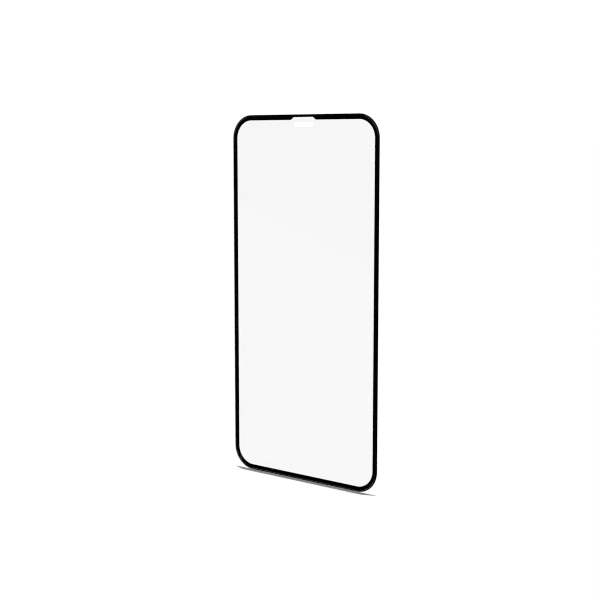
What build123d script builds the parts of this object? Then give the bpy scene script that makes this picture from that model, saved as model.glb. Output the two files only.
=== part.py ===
from build123d import *
import os

# A full-cover tempered glass screen protector for a smartphone. It stands upright: X is its
# width, Z its height, and the side that is touched faces -Y. The origin is the centre of the
# adhesive face, which is the face that is bonded to the phone's display.

# Outline, millimetres
glass_width = 68.1
glass_height = 140.6
corner_radius = 9.0
border_width = 2.1

# Layers, from the phone outwards, millimetres
mounting_adhesive_thickness = 0.05
shatter_film_thickness = 0.10
optical_adhesive_thickness = 0.05
ink_thickness = 0.03
glass_thickness = 0.33
liner_thickness = 0.075

# The ground and polished arc round the front edge of the glass
rim_width = 1.0
rim_drop = 0.22

# How far each layer stops short of the edge of the glass, and of the edge of its slot
ink_margin = 0.05
film_margin = 0.30
film_slot_margin = 0.05

# The earpiece slot, through every layer
slot_width = 9.3
slot_height = 1.95
slot_corner_radius = 0.7
slot_drop = 3.85
slot_bevel = 0.12

# The place beside the slot where the printed border is narrower
recess_base_width = 11.65
recess_top_width = 8.75
recess_depth = 1.03
recess_corner_radius = 0.35

half_height = glass_height / 2
shatter_film_back = mounting_adhesive_thickness
optical_adhesive_back = shatter_film_back + shatter_film_thickness
glass_back = optical_adhesive_back + optical_adhesive_thickness


def outline(margin):
    """The rounded rectangle that lies this far inside the edge of the glass."""
    width = glass_width - 2 * margin
    height = glass_height - 2 * margin
    return RectangleRounded(width, height, corner_radius - margin)


def slot(margin):
    """The earpiece slot, with its edge this far outside the slot in the glass."""
    width = slot_width + 2 * margin
    height = slot_height + 2 * margin
    shape = RectangleRounded(width, height, slot_corner_radius + margin)
    return Pos(0, half_height - slot_drop) * shape


def layer(sketch, back, thickness):
    """A sheet of this shape, whose back face is this far in front of the adhesive face."""
    return extrude(Plane.XZ.offset(back) * sketch, thickness)


def rim():
    """The outer ring of the glass, whose front face falls towards the edge in an arc."""
    half_width = glass_width / 2
    inner = half_height - rim_width
    front = -glass_back - glass_thickness
    edge_front = front + rim_drop
    profile_lines = [
        Line((-glass_back, half_height), (edge_front, half_height)),
        TangentArc((front, inner), (edge_front, half_height), tangent=(0, 1)),
        Line((front, inner), (-glass_back, inner)),
        Line((-glass_back, inner), (-glass_back, half_height)),
    ]
    profile = Plane.YZ * make_face(Curve() + profile_lines)
    corners = [
        (0, half_height),
        (half_width, half_height),
        (half_width, -half_height),
        (0, -half_height),
    ]
    path = Plane.XZ.offset(glass_back) * FilletPolyline(*corners, radius=corner_radius)
    half = sweep(profile, path=path)
    return half + mirror(half, about=Plane.YZ)


def cover_glass():
    """The glass, with its arc-ground rim and a slot that is bevelled on the touched side."""
    middle = layer(outline(rim_width), glass_back, glass_thickness)
    glass = middle + rim()
    glass_front = glass_back + glass_thickness
    bevel_foot = Plane.XZ.offset(glass_front - slot_bevel) * slot(0)
    bevel_mouth = Plane.XZ.offset(glass_front) * slot(slot_bevel)
    glass -= layer(slot(0), glass_back, glass_thickness)
    return glass - loft([bevel_foot.face(), bevel_mouth.face()])


def border_print():
    """The black ring printed on the back of the glass, with its recess above the slot."""
    inner = outline(border_width)
    base = half_height - border_width
    foot = base - recess_depth
    top = base + recess_depth
    half_base = recess_base_width / 2
    half_top = recess_top_width / 2
    corners = [
        (-half_base, foot),
        (half_base, foot),
        (half_base, base),
        (half_top, top),
        (-half_top, top),
        (-half_base, base),
    ]
    opening = inner + make_face(Polyline(*corners, close=True))
    turns = opening.vertices().filter_by_position(Axis.Y, base, top)
    turns = turns.filter_by_position(Axis.X, -half_base, half_base)
    opening = fillet(turns, recess_corner_radius)
    ring = outline(ink_margin) - opening
    return layer(ring, glass_back - ink_thickness, ink_thickness)


def film(back, thickness):
    """One of the clear sheets behind the glass, cut a little smaller than the glass."""
    return layer(outline(film_margin) - slot(film_slot_margin), back, thickness)


def release_liner():
    """The clear sheet that covers the adhesive until the protector is fitted."""
    return layer(outline(film_margin) - slot(film_slot_margin), -liner_thickness, liner_thickness)


printed_ring = border_print()
nodes = {
    "cover_glass": cover_glass(),
    "border_print": printed_ring,
    "optical_adhesive": film(optical_adhesive_back, optical_adhesive_thickness) - printed_ring,
    "shatter_film": film(shatter_film_back, shatter_film_thickness),
    "mounting_adhesive": film(0, mounting_adhesive_thickness),
    "release_liner": release_liner(),
}

os.makedirs("parts", exist_ok=True)
for name, shape in nodes.items():
    export_step(shape, f"parts/{name}.step")
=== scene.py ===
import math

import bmesh
import bpy
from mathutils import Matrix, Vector


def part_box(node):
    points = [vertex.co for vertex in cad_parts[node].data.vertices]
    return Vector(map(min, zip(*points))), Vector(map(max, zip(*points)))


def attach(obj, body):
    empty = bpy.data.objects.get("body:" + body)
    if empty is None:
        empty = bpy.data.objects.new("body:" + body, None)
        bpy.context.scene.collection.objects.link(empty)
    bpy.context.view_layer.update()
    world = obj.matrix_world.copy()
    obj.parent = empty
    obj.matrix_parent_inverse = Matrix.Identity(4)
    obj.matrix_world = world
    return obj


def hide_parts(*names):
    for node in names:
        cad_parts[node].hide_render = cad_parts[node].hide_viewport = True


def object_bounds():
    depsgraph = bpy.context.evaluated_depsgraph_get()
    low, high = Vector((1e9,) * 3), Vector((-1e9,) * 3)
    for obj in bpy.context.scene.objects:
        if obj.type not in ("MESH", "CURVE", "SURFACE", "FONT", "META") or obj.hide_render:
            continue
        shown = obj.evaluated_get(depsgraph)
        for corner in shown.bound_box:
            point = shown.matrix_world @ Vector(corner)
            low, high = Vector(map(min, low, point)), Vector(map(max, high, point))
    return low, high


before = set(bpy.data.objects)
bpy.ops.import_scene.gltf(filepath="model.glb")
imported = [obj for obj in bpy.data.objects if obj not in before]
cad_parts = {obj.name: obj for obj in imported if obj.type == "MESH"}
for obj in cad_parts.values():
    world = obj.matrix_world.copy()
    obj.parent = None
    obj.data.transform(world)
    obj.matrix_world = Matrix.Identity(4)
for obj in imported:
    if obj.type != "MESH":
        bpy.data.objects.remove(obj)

# A full-cover tempered glass screen protector, standing upright on a white ground. Its own
# frame: X is the width, Z the height, and the side that is touched faces -Y.

cad_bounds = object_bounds()

MM = 0.001

# The glass, millimetres. BACK_GAP is the air between it and the next sheet, and FLAT_SUPPORT is
# the width of the narrow band of flat face inside the rim's arc
CORNER_RADIUS = 9.0
RIM_WIDTH = 1.0
RIM_DROP = 0.22
BACK_CHAMFER = 0.03
BACK_GAP = 0.002
FLAT_SUPPORT = 0.1

# The printed border, the slot through the glass, and the recess beside it, millimetres
INK_MARGIN = 0.05
BORDER_WIDTH = 2.1
SLOT_WIDTH = 9.3
SLOT_HEIGHT = 1.95
SLOT_CORNER_RADIUS = 0.7
SLOT_DROP = 3.85
SLOT_BEVEL = 0.12
RECESS_BASE_WIDTH = 11.65
RECESS_TOP_WIDTH = 8.75
RECESS_DEPTH = 1.03
RECESS_CORNER_RADIUS = 0.35

# How finely the corners and the rim's arc are divided, and the least angle, in degrees, of an
# edge that stays sharp
CORNER_STEPS = 20
RIM_STEPS = 8
SHARP_ANGLE = 25

# The camera's place and lens, millimetres, its angles, degrees, and its shift, picture widths
CAMERA_PLACE = (257.89, -349.34, 60.12)
CAMERA_TILT = 83.042
CAMERA_TURN = 36.610
CAMERA_LENS = 69.03
CAMERA_SHIFT = -0.03

glass_low, glass_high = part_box("cover_glass")
glass_width = (glass_high.x - glass_low.x) / MM
glass_height = (glass_high.z - glass_low.z) / MM
glass_front = glass_low.y / MM
glass_back = glass_high.y / MM - BACK_GAP
ink_low, ink_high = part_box("border_print")


# ---------------------------------------------------------------- meshes


def rounded_loop(corners):
    """Points round a polygon, in the XZ plane, whose corners are (x, z, radius)."""
    points = []
    for i, (x, z, radius) in enumerate(corners):
        here = Vector((x, z))
        before = (Vector(corners[i - 1][:2]) - here).normalized()
        after = (Vector(corners[(i + 1) % len(corners)][:2]) - here).normalized()
        half = before.angle(after) / 2
        centre = here + (before + after).normalized() * radius / math.sin(half)
        start = here + before * radius / math.tan(half) - centre
        end = here + after * radius / math.tan(half) - centre
        turn = start.angle(end)
        for k in range(CORNER_STEPS + 1):
            t = k / CORNER_STEPS
            arm = start * math.sin((1 - t) * turn) + end * math.sin(t * turn)
            points.append(centre + arm / math.sin(turn))
    return points


def outline(inset):
    """The rounded rectangle that lies this far inside the edge of the glass."""
    x = glass_width / 2 - inset
    z = glass_height / 2 - inset
    radius = CORNER_RADIUS - inset
    corners = [(-x, -z, radius), (x, -z, radius), (x, z, radius), (-x, z, radius)]
    return rounded_loop(corners)


def slot_outline(margin):
    """The earpiece slot, with its edge this far outside the slot in the glass."""
    x = SLOT_WIDTH / 2 + margin
    middle = glass_height / 2 - SLOT_DROP
    low = middle - SLOT_HEIGHT / 2 - margin
    high = middle + SLOT_HEIGHT / 2 + margin
    radius = SLOT_CORNER_RADIUS + margin
    corners = [(-x, low, radius), (x, low, radius), (x, high, radius), (-x, high, radius)]
    return rounded_loop(corners)


def clear_corners(inset):
    """The corners of the clear area inside the printed border, from the lowest round."""
    x = glass_width / 2 - BORDER_WIDTH - inset
    z = glass_height / 2 - BORDER_WIDTH - inset
    radius = CORNER_RADIUS - BORDER_WIDTH - inset
    half_base = RECESS_BASE_WIDTH / 2 - inset
    half_top = RECESS_TOP_WIDTH / 2 - inset
    top = z + RECESS_DEPTH
    return [
        (-x, -z, radius),
        (x, -z, radius),
        (x, z, radius),
        (half_base, z, RECESS_CORNER_RADIUS),
        (half_top, top, RECESS_CORNER_RADIUS),
        (-half_top, top, RECESS_CORNER_RADIUS),
        (-half_base, z, RECESS_CORNER_RADIUS),
        (-x, z, radius),
    ]


def add_loop(bm, points, y):
    """A closed loop of edges through these points, at this depth."""
    verts = [bm.verts.new((x * MM, y * MM, z * MM)) for x, z in points]
    return verts, [bm.edges.new((verts[i - 1], verts[i])) for i in range(len(verts))]


def skin(bm, loops):
    """Faces between each loop and the next. The loops have the same number of points."""
    for (near, _), (far, _) in zip(loops, loops[1:]):
        for i in range(len(near)):
            bm.faces.new((near[i - 1], near[i], far[i], far[i - 1]))


def cap(bm, *loops):
    """Fills the flat face that these loops bound."""
    edges = [edge for _, loop_edges in loops for edge in loop_edges]
    bmesh.ops.triangle_fill(bm, use_beauty=True, edges=edges)


def finished(bm, name):
    """The piece that this mesh makes, smooth apart from its sharp edges."""
    bmesh.ops.recalc_face_normals(bm, faces=bm.faces)
    mesh = bpy.data.meshes.new(name)
    bm.to_mesh(mesh)
    bm.free()
    mesh.shade_smooth()
    mesh.set_sharp_from_angle(angle=math.radians(SHARP_ANGLE))
    piece = bpy.data.objects.new(name, mesh)
    bpy.context.scene.collection.objects.link(piece)
    return piece


def make_glass():
    """The cover glass: arc-ground rim, chamfered back edge and a bevelled slot."""
    bm = bmesh.new()
    arc_radius = (RIM_WIDTH ** 2 + RIM_DROP ** 2) / (2 * RIM_DROP)
    arc_angle = math.asin(RIM_WIDTH / arc_radius)
    edge = [
        add_loop(bm, outline(BACK_CHAMFER), glass_back),
        add_loop(bm, outline(0), glass_back - BACK_CHAMFER),
    ]
    for k in range(RIM_STEPS + 1):
        angle = arc_angle * (1 - k / RIM_STEPS)
        inset = RIM_WIDTH - arc_radius * math.sin(angle)
        depth = glass_front + arc_radius * (1 - math.cos(angle))
        edge.append(add_loop(bm, outline(inset), depth))
    edge.append(add_loop(bm, outline(RIM_WIDTH + FLAT_SUPPORT), glass_front))
    skin(bm, edge)
    slot = [
        add_loop(bm, slot_outline(BACK_CHAMFER), glass_back),
        add_loop(bm, slot_outline(0), glass_back - BACK_CHAMFER),
        add_loop(bm, slot_outline(0), glass_front + SLOT_BEVEL),
        add_loop(bm, slot_outline(SLOT_BEVEL), glass_front),
    ]
    skin(bm, slot)
    cap(bm, edge[0], slot[0])
    cap(bm, edge[-1], slot[-1])
    return finished(bm, "ground_glass")


def make_border():
    """The black ring printed on the back of the glass."""
    bm = bmesh.new()
    front = ink_low.y / MM
    back = ink_high.y / MM
    outside = [add_loop(bm, outline(INK_MARGIN), y) for y in (front, back)]
    inside = [add_loop(bm, rounded_loop(clear_corners(0)), y) for y in (front, back)]
    skin(bm, outside)
    skin(bm, inside)
    cap(bm, outside[0], inside[0])
    cap(bm, outside[1], inside[1])
    return finished(bm, "printed_ring")


# ---------------------------------------------------------------- materials


# The ground rim is polished less finely than the faces. Its roughness grows with the angle that
# the surface has turned from the faces, between these two cosines of it
RIM_ROUGHNESS = 0.18
RIM_START, RIM_FULL = 0.9995, 0.99

# The side walls begin, and have their full colour, at these cosines of that angle
WALL_START, WALL_FULL = 0.9, 0.5

# The outer side of a sheet is what looks less than this far away from its own side, as a cosine
OUTER_END = -0.5

# Points nearer to the middle than these belong to the slot, and the rest to the outer edge
SLOT_MARGIN = 0.5
SLOT_REACH_X = (SLOT_WIDTH / 2 + SLOT_MARGIN) * MM
SLOT_REACH_Z = (glass_height / 2 - SLOT_DROP + SLOT_HEIGHT / 2 + SLOT_MARGIN) * MM

# Feature sizes of the noises, millimetres
SMEAR_SIZE = 9
RIPPLE_SIZE = 16
EDGE_GRAIN = 0.4
INK_CLOUD = 2.5
INK_WEAVE = 0.09

# How high the weave in the ink stands, millimetres, and how much of it shows
WEAVE_HEIGHT = 0.004
WEAVE_STRENGTH = 0.15


class Nodes:
    """A material's or a world's node tree, emptied, with short ways to add and join nodes."""

    def __init__(self, owner, output="ShaderNodeOutputMaterial"):
        owner.use_nodes = True
        self.tree = owner.node_tree
        self.tree.nodes.clear()
        self.output = self.add(output)
        self.coordinates = self.add("ShaderNodeTexCoord").outputs

    def add(self, kind, **settings):
        node = self.tree.nodes.new(kind)
        for name, value in settings.items():
            setattr(node, name, value)
        return node

    def join(self, source, socket):
        self.tree.links.new(source, socket)

    def maths(self, operation, a, b=0.0, clamp=False):
        node = self.add("ShaderNodeMath", operation=operation, use_clamp=clamp)
        for socket, value in zip(node.inputs, (a, b)):
            if isinstance(value, (int, float)):
                socket.default_value = value
            else:
                self.join(value, socket)
        return node.outputs[0]

    def span(self, value, low, high, to_low, to_high):
        """value, from low to high, stretched to run from to_low to to_high."""
        node = self.add("ShaderNodeMapRange")
        self.join(value, node.inputs["Value"])
        ends = {"From Min": low, "From Max": high, "To Min": to_low, "To Max": to_high}
        for name, number in ends.items():
            node.inputs[name].default_value = number
        return node.outputs[0]

    def noise(self, size_mm, detail=3.0, stretch=(1, 1, 1)):
        """Noise whose features are about this large."""
        mapping = self.add("ShaderNodeMapping")
        mapping.inputs["Scale"].default_value = stretch
        self.join(self.coordinates["Object"], mapping.inputs["Vector"])
        node = self.add("ShaderNodeTexNoise")
        node.inputs["Scale"].default_value = 1 / (size_mm * MM)
        node.inputs["Detail"].default_value = detail
        self.join(mapping.outputs[0], node.inputs["Vector"])
        return node.outputs[0]

    def smears(self):
        """The long faint smears on a wiped sheet."""
        return self.noise(SMEAR_SIZE, stretch=(1, 1, 0.5))

    def facing(self):
        """1 where the surface looks along Y, -1 where it looks along -Y."""
        normal = self.add("ShaderNodeSeparateXYZ")
        self.join(self.coordinates["Normal"], normal.inputs[0])
        return normal.outputs["Y"]

    def edge_share(self):
        """1 on the side walls round the outer edge, and 0 on the faces and in the slot."""
        turned = self.maths("ABSOLUTE", self.facing())
        wall = self.span(turned, WALL_START, WALL_FULL, 0.0, 1.0)
        place = self.add("ShaderNodeSeparateXYZ")
        self.join(self.coordinates["Object"], place.inputs[0])
        wide = self.maths("GREATER_THAN", self.maths("ABSOLUTE", place.outputs["X"]), SLOT_REACH_X)
        tall = self.maths("GREATER_THAN", self.maths("ABSOLUTE", place.outputs["Z"]), SLOT_REACH_Z)
        return self.maths("MULTIPLY", wall, self.maths("MAXIMUM", wide, tall))

    def mirror_share(self, ior, side):
        """How much a sheet mirrors on its outer face, which looks along Y if side is 1, or -Y."""
        fresnel = self.add("ShaderNodeFresnel")
        fresnel.inputs["IOR"].default_value = ior
        backfacing = self.add("ShaderNodeNewGeometry").outputs["Backfacing"]
        towards = self.maths("MULTIPLY", self.facing(), side)
        outward = self.maths("GREATER_THAN", towards, OUTER_END)
        outer = self.maths("MULTIPLY", outward, self.maths("SUBTRACT", 1.0, backfacing))
        return self.maths("MULTIPLY", fresnel.outputs[0], outer)

    def mix(self, share, low, high):
        """The shader that goes from low to high with share."""
        node = self.add("ShaderNodeMixShader")
        self.join(share, node.inputs[0])
        self.join(low, node.inputs[1])
        self.join(high, node.inputs[2])
        return node.outputs[0]

    def blend(self, share, low, high):
        """The colour that goes from low to high with share."""
        node = self.add("ShaderNodeMix", data_type="RGBA")
        self.join(share, node.inputs["Factor"])
        node.inputs[6].default_value = (*low, 1)
        node.inputs[7].default_value = (*high, 1)
        return node.outputs[2]


def mirror_face(nodes, sheet, side, ior, smear, ripple=0.0):
    """The sheet with a mirroring outer face, which looks along Y if side is 1, or -Y if it is -1.

    smear is the least and the most roughness of the face, and ripple is how high its waves are,
    in millimetres.
    """
    gloss = nodes.add("ShaderNodeBsdfGlossy")
    turned = nodes.maths("ABSOLUTE", nodes.facing())
    slope = nodes.span(turned, RIM_START, RIM_FULL, 0.0, RIM_ROUGHNESS)
    roughness = nodes.maths("ADD", nodes.span(nodes.smears(), 0.35, 0.75, *smear), slope)
    nodes.join(roughness, gloss.inputs["Roughness"])
    if ripple:
        bump = nodes.add("ShaderNodeBump")
        bump.inputs["Distance"].default_value = ripple * MM
        waves = nodes.noise(RIPPLE_SIZE, detail=1.0, stretch=(1, 1, 0.45))
        nodes.join(waves, bump.inputs["Height"])
        nodes.join(bump.outputs[0], gloss.inputs["Normal"])
    return nodes.mix(nodes.mirror_share(ior, side), sheet, gloss.outputs[0])


def clear_material(name, tint, edge_colour, edge_cover, haze=0.0, mirror=None):
    """A clear sheet that is tinted, and darker along its edge.

    edge_cover is how much of what is behind the edge it hides, haze is the share of the light
    that the sheet scatters, and mirror is what mirror_face needs if the sheet has an outer face.
    """
    material = bpy.data.materials.new(name)
    nodes = Nodes(material)
    clear = nodes.add("ShaderNodeBsdfTransparent")
    clear.inputs["Color"].default_value = (*tint, 1)
    body = nodes.add("ShaderNodeBsdfPrincipled")
    edge = nodes.edge_share()
    nodes.join(nodes.blend(edge, (0.9, 0.9, 0.9), edge_colour), body.inputs["Base Color"])
    nodes.join(nodes.span(nodes.noise(EDGE_GRAIN), 0.3, 0.7, 0.25, 0.5), body.inputs["Roughness"])
    cover = nodes.maths("MULTIPLY", edge, edge_cover)
    if haze:
        cloud = nodes.span(nodes.smears(), 0.3, 0.7, 0.5 * haze, 1.5 * haze)
        cover = nodes.maths("ADD", cover, cloud, clamp=True)
    sheet = nodes.mix(cover, clear.outputs[0], body.outputs[0])
    if mirror:
        sheet = mirror_face(nodes, sheet, **mirror)
    nodes.join(sheet, nodes.output.inputs["Surface"])
    return material


def ink_material():
    """Dull black ink, a little cloudy, with the weave of the printing screen in it."""
    material = bpy.data.materials.new("border_ink")
    nodes = Nodes(material)
    ink = nodes.add("ShaderNodeBsdfPrincipled")
    ink.inputs["Specular IOR Level"].default_value = 0.0
    colour = nodes.blend(nodes.noise(INK_CLOUD), (0.0010, 0.0006, 0.0005), (0.0018, 0.0011, 0.0009))
    nodes.join(colour, ink.inputs["Base Color"])
    weave = nodes.noise(INK_WEAVE, detail=1.0)
    nodes.join(nodes.span(weave, 0.3, 0.7, 0.34, 0.52), ink.inputs["Roughness"])
    bump = nodes.add("ShaderNodeBump")
    bump.inputs["Strength"].default_value = WEAVE_STRENGTH
    bump.inputs["Distance"].default_value = WEAVE_HEIGHT * MM
    nodes.join(weave, bump.inputs["Height"])
    nodes.join(bump.outputs[0], ink.inputs["Normal"])
    nodes.join(ink.outputs[0], nodes.output.inputs["Surface"])
    return material


def paint(piece, material):
    """Gives the piece this one material."""
    piece.data.materials.clear()
    piece.data.materials.append(material)


def let_light_through(piece):
    """Lamps shine past this piece as if it were clear."""
    piece.visible_shadow = False
    piece.visible_diffuse = False


# ---------------------------------------------------------------- the object

glass = make_glass()
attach(glass, "protector")
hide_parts("cover_glass")
paint(glass, clear_material(
    "tempered_glass",
    tint=(0.9923, 0.9923, 0.9923),
    edge_colour=(0.03, 0.055, 0.048),
    edge_cover=0.8,
    mirror={"side": -1, "ior": 1.52, "smear": (0.01, 0.03)},
))
let_light_through(glass)

border = make_border()
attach(border, "protector")
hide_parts("border_print")
paint(border, ink_material())
let_light_through(border)

film_looks = {
    "optical_adhesive": clear_material(
        "acrylic_adhesive",
        tint=(1, 1, 1),
        edge_colour=(0.35, 0.35, 0.33),
        edge_cover=0.5,
    ),
    "shatter_film": clear_material(
        "clear_polyester",
        tint=(1, 1, 1),
        edge_colour=(0.16, 0.18, 0.2),
        edge_cover=0.7,
    ),
    "mounting_adhesive": clear_material(
        "silicone_adhesive",
        tint=(1, 1, 1),
        edge_colour=(0.3, 0.3, 0.3),
        edge_cover=0.5,
        mirror={"side": 1, "ior": 1.41, "smear": (0.03, 0.07)},
    ),
    "release_liner": clear_material(
        "liner_polyester",
        tint=(0.975, 0.975, 0.975),
        edge_colour=(0.12, 0.15, 0.18),
        edge_cover=0.85,
        haze=0.008,
        mirror={"side": 1, "ior": 1.62, "smear": (0.02, 0.06), "ripple": 0.25},
    ),
}
for node, look in film_looks.items():
    paint(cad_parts[node], look)
    let_light_through(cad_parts[node])


# ---------------------------------------------------------------- the stage

# The backdrop's brightness, the ground's whiteness and its width in metres, and the light that
# fills the shadows
WHITE_LEVEL = 1.02
FLOOR_WHITE = 0.95
FLOOR_SIZE = 200
AMBIENT = (0.35, 0.315, 0.29)

# How high the light from behind stands, and how wide it looks, degrees
KEY_ELEVATION = 38
KEY_ANGLE = 6

# The nearest and the farthest that the camera sees, metres, and how wide it blurs, in pixels
CLIP_START, CLIP_END = 0.01, 400
PIXEL_BLUR = 1.1

# How many clear faces a ray may pass: both faces of every sheet, and some again after a mirror
CLEAR_FACES = 24

# A low strip, out of sight, that keeps the light from behind off the ground along the glass,
# millimetres. It has its full height to STRIP_FULL from the middle, and none at STRIP_END
STRIP_HEIGHT = 1.8
STRIP_FULL = 28.5
STRIP_END = 34

# Softboxes that the ground rim of the glass mirrors at its four corners, millimetres. RIM_TILT is
# the slope of the rim where it mirrors them, in degrees. It and their radiance are given for
# the left (-1) and the right (1) of the glass
RIM_TILT = {-1: 10, 1: 11}
RIM_LIGHT_DISTANCE = 600
RIM_LIGHT_RADIUS = 115
RIM_LIGHT_RADIANCE = {-1: 0.95, 1: 0.85}
RIM_LIGHT_COLOUR = (1.0, 0.95, 0.87)

# Pale cards that the clear glass mirrors, millimetres. Towards the camera one fills the clear
# area above CARD_LINE, and a brighter one fills it below, and the border stays black
CARD_DISTANCE = 500
CARD_MARGIN = 0.3
CARD_LINE_RADIUS = 0.1
CARD_LINE = ((-30.6, 36.2), (31.4, 14.2))
UPPER_CARD, LOWER_CARD = 0.53, 0.98

# The cards for other directions: azimuth and elevation in degrees, a line's two ends, whether
# the card fills the glass above it (1) or below it (-1), and radiance. SIDE_CARD_EYE is how far
# off the glass is seen from, and SIDE_CARD_MARGIN is how far the mirrored cards reach past it
SIDE_CARDS = {
    "front_card": (0, 3, (-34, 66), (34, 44), 1, 0.7),
    "right_card": (45, 25, (-34, 10), (34, -14), -1, 0.76),
    "back_card": (225, 15, (-34, 30), (34, -6), -1, 0.7),
}
SIDE_CARD_EYE = 319
SIDE_CARD_MARGIN = 6


def make_world():
    """A white studio: the camera sees it white, and it fills the shadows."""
    world = bpy.data.worlds.new("studio")
    bpy.context.scene.world = world
    nodes = Nodes(world, "ShaderNodeOutputWorld")
    fill = nodes.add("ShaderNodeBackground")
    fill.inputs["Color"].default_value = (*AMBIENT, 1)
    backdrop = nodes.add("ShaderNodeBackground")
    backdrop.inputs["Color"].default_value = (1, 1, 1, 1)
    backdrop.inputs["Strength"].default_value = WHITE_LEVEL
    path = nodes.add("ShaderNodeLightPath").outputs
    seen = nodes.maths("MAXIMUM", path["Is Camera Ray"], path["Is Transmission Ray"])
    light = nodes.mix(seen, fill.outputs[0], backdrop.outputs[0])
    nodes.join(light, nodes.output.inputs["Surface"])
    world.cycles_visibility.glossy = False


def make_key():
    """The light from behind and above that brings the ground up to the white of the backdrop."""
    climb = math.radians(KEY_ELEVATION)
    needed = [math.pi * (WHITE_LEVEL / FLOOR_WHITE - value) / math.sin(climb) for value in AMBIENT]
    data = bpy.data.lights.new("key", "SUN")
    data.angle = math.radians(KEY_ANGLE)
    data.energy = max(needed)
    data.color = [value / data.energy for value in needed]
    key = bpy.data.objects.new("key", data)
    key.rotation_euler = (climb - math.pi / 2, 0, 0)
    key.visible_glossy = False
    bpy.context.scene.collection.objects.link(key)


def make_floor():
    """The white ground, under the lowest edge of the glass."""
    bpy.ops.mesh.primitive_plane_add(size=FLOOR_SIZE, location=(0, 0, cad_bounds[0].z))
    floor = bpy.context.object
    floor.name = "ground"
    material = bpy.data.materials.new("white_ground")
    nodes = Nodes(material)
    paper = nodes.add("ShaderNodeBsdfDiffuse")
    paper.inputs["Color"].default_value = (FLOOR_WHITE, FLOOR_WHITE, FLOOR_WHITE, 1)
    nodes.join(paper.outputs[0], nodes.output.inputs["Surface"])
    paint(floor, material)
    floor.visible_glossy = False
    floor.visible_shadow = False


def make_camera():
    """The camera, to the front right of the glass and a little above its middle."""
    data = bpy.data.cameras.new("camera")
    data.lens = CAMERA_LENS
    data.shift_y = CAMERA_SHIFT
    data.clip_start = CLIP_START
    data.clip_end = CLIP_END
    camera = bpy.data.objects.new("camera", data)
    camera.location = [value * MM for value in CAMERA_PLACE]
    camera.rotation_euler = (math.radians(CAMERA_TILT), 0, math.radians(CAMERA_TURN))
    bpy.context.scene.collection.objects.link(camera)
    bpy.context.scene.camera = camera


def glossy_only(source):
    """This lamp or card shows in reflections and leaves the ground as it is."""
    source.visible_camera = False
    source.visible_diffuse = False
    source.visible_transmission = False
    source.visible_shadow = False


def make_rim_light(side, end):
    """A round softbox that the rim mirrors at one corner of the glass."""
    reach = (CORNER_RADIUS - RIM_WIDTH / 2) * math.sqrt(0.5)
    x = side * (glass_width / 2 - CORNER_RADIUS + reach)
    z = end * (glass_height / 2 - CORNER_RADIUS + reach)
    spot = Vector((x, glass_front, z))
    tilt = math.radians(RIM_TILT[side])
    lean = math.sin(tilt) * math.sqrt(0.5)
    normal = Vector((side * lean, -math.cos(tilt), end * lean))
    view = (spot - Vector(CAMERA_PLACE)).normalized()
    mirrored = view.reflect(normal)
    data = bpy.data.lights.new(f"rim_softbox_{side}_{end}", "AREA")
    data.shape = "DISK"
    data.size = 2 * RIM_LIGHT_RADIUS * MM
    disc_area = math.pi * (RIM_LIGHT_RADIUS * MM) ** 2
    data.energy = RIM_LIGHT_RADIANCE[side] * math.pi * disc_area
    data.color = RIM_LIGHT_COLOUR
    light = bpy.data.objects.new(data.name, data)
    light.location = (spot + mirrored * RIM_LIGHT_DISTANCE) * MM
    light.rotation_mode = "QUATERNION"
    light.rotation_quaternion = (-mirrored).to_track_quat("-Z", "Y")
    bpy.context.scene.collection.objects.link(light)
    glossy_only(light)


def make_shade():
    """The strip that gives the glass one straight, narrow shadow along its foot."""
    foot = cad_bounds[0].z / MM
    bm = bmesh.new()
    corners = [
        (-STRIP_END, foot),
        (STRIP_END, foot),
        (STRIP_FULL, foot + STRIP_HEIGHT),
        (-STRIP_FULL, foot + STRIP_HEIGHT),
    ]
    bm.faces.new([bm.verts.new((x * MM, ink_low.y, z * MM)) for x, z in corners])
    shade = finished(bm, "low_strip")
    material = bpy.data.materials.new("dull_black")
    nodes = Nodes(material)
    black = nodes.add("ShaderNodeBsdfDiffuse")
    black.inputs["Color"].default_value = (0, 0, 0, 1)
    nodes.join(black.outputs[0], nodes.output.inputs["Surface"])
    paint(shade, material)
    shade.visible_camera = False
    shade.visible_glossy = False
    shade.visible_transmission = False


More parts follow.
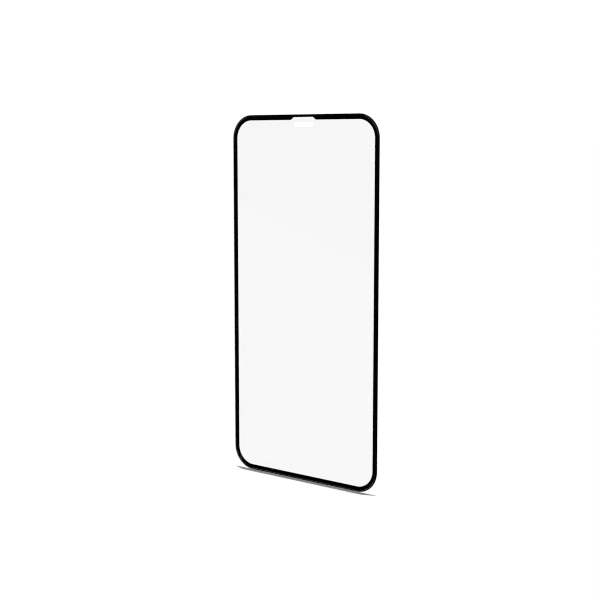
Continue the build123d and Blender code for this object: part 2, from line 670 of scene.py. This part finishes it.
def make_card(name, eye, points, radiance):
    """A card whose mirror image fills these points of the glass, seen from the eye, all in mm."""
    mirrored = Vector(eye)
    mirrored.y = 2 * glass_front - mirrored.y
    bm = bmesh.new()
    verts = []
    for x, z in points:
        spot = Vector((x, glass_front, z))
        ray = spot - mirrored
        verts.append(bm.verts.new((spot + ray * CARD_DISTANCE / abs(ray.y)) * MM))
    bm.faces.new(verts)
    card = finished(bm, name)
    material = bpy.data.materials.new(name)
    nodes = Nodes(material)
    glow = nodes.add("ShaderNodeEmission")
    glow.inputs["Strength"].default_value = radiance
    nodes.join(glow.outputs[0], nodes.output.inputs["Surface"])
    paint(card, material)
    glossy_only(card)


def height_on(line, x):
    """How high a straight line is at this x."""
    (x0, z0), (x1, z1) = line
    return z0 + (z1 - z0) / (x1 - x0) * (x - x0)


def make_cards():
    """The cards for the camera, and those for the other sides of the glass."""
    corners = clear_corners(CARD_MARGIN)
    x = corners[1][0]
    ends = [(end, height_on(CARD_LINE, end), CARD_LINE_RADIUS) for end in (-x, x)]
    lower = rounded_loop([*corners[:2], *reversed(ends)])
    upper = rounded_loop([*ends, *corners[2:]])
    make_card("lower_card", CAMERA_PLACE, lower, LOWER_CARD)
    make_card("upper_card", CAMERA_PLACE, upper, UPPER_CARD)
    centre = (cad_bounds[0] + cad_bounds[1]) / 2 / MM
    x = glass_width / 2 + SIDE_CARD_MARGIN
    for name, (azimuth, elevation, *line, end, radiance) in SIDE_CARDS.items():
        turn = math.radians(azimuth)
        climb = math.radians(elevation)
        back = Vector((math.sin(turn), -math.cos(turn), math.tan(climb))).normalized()
        z = end * (glass_height / 2 + SIDE_CARD_MARGIN)
        points = [(-x, z), (x, z), (x, height_on(line, x)), (-x, height_on(line, -x))]
        make_card(name, centre + back * SIDE_CARD_EYE, points, radiance)


make_camera()
make_world()
make_key()
make_floor()
make_shade()
make_cards()
for side in (-1, 1):
    for end in (-1, 1):
        make_rim_light(side, end)

scene = bpy.context.scene
scene.view_settings.view_transform = "Standard"
scene.cycles.transparent_max_bounces = CLEAR_FACES
scene.cycles.filter_width = PIXEL_BLUR
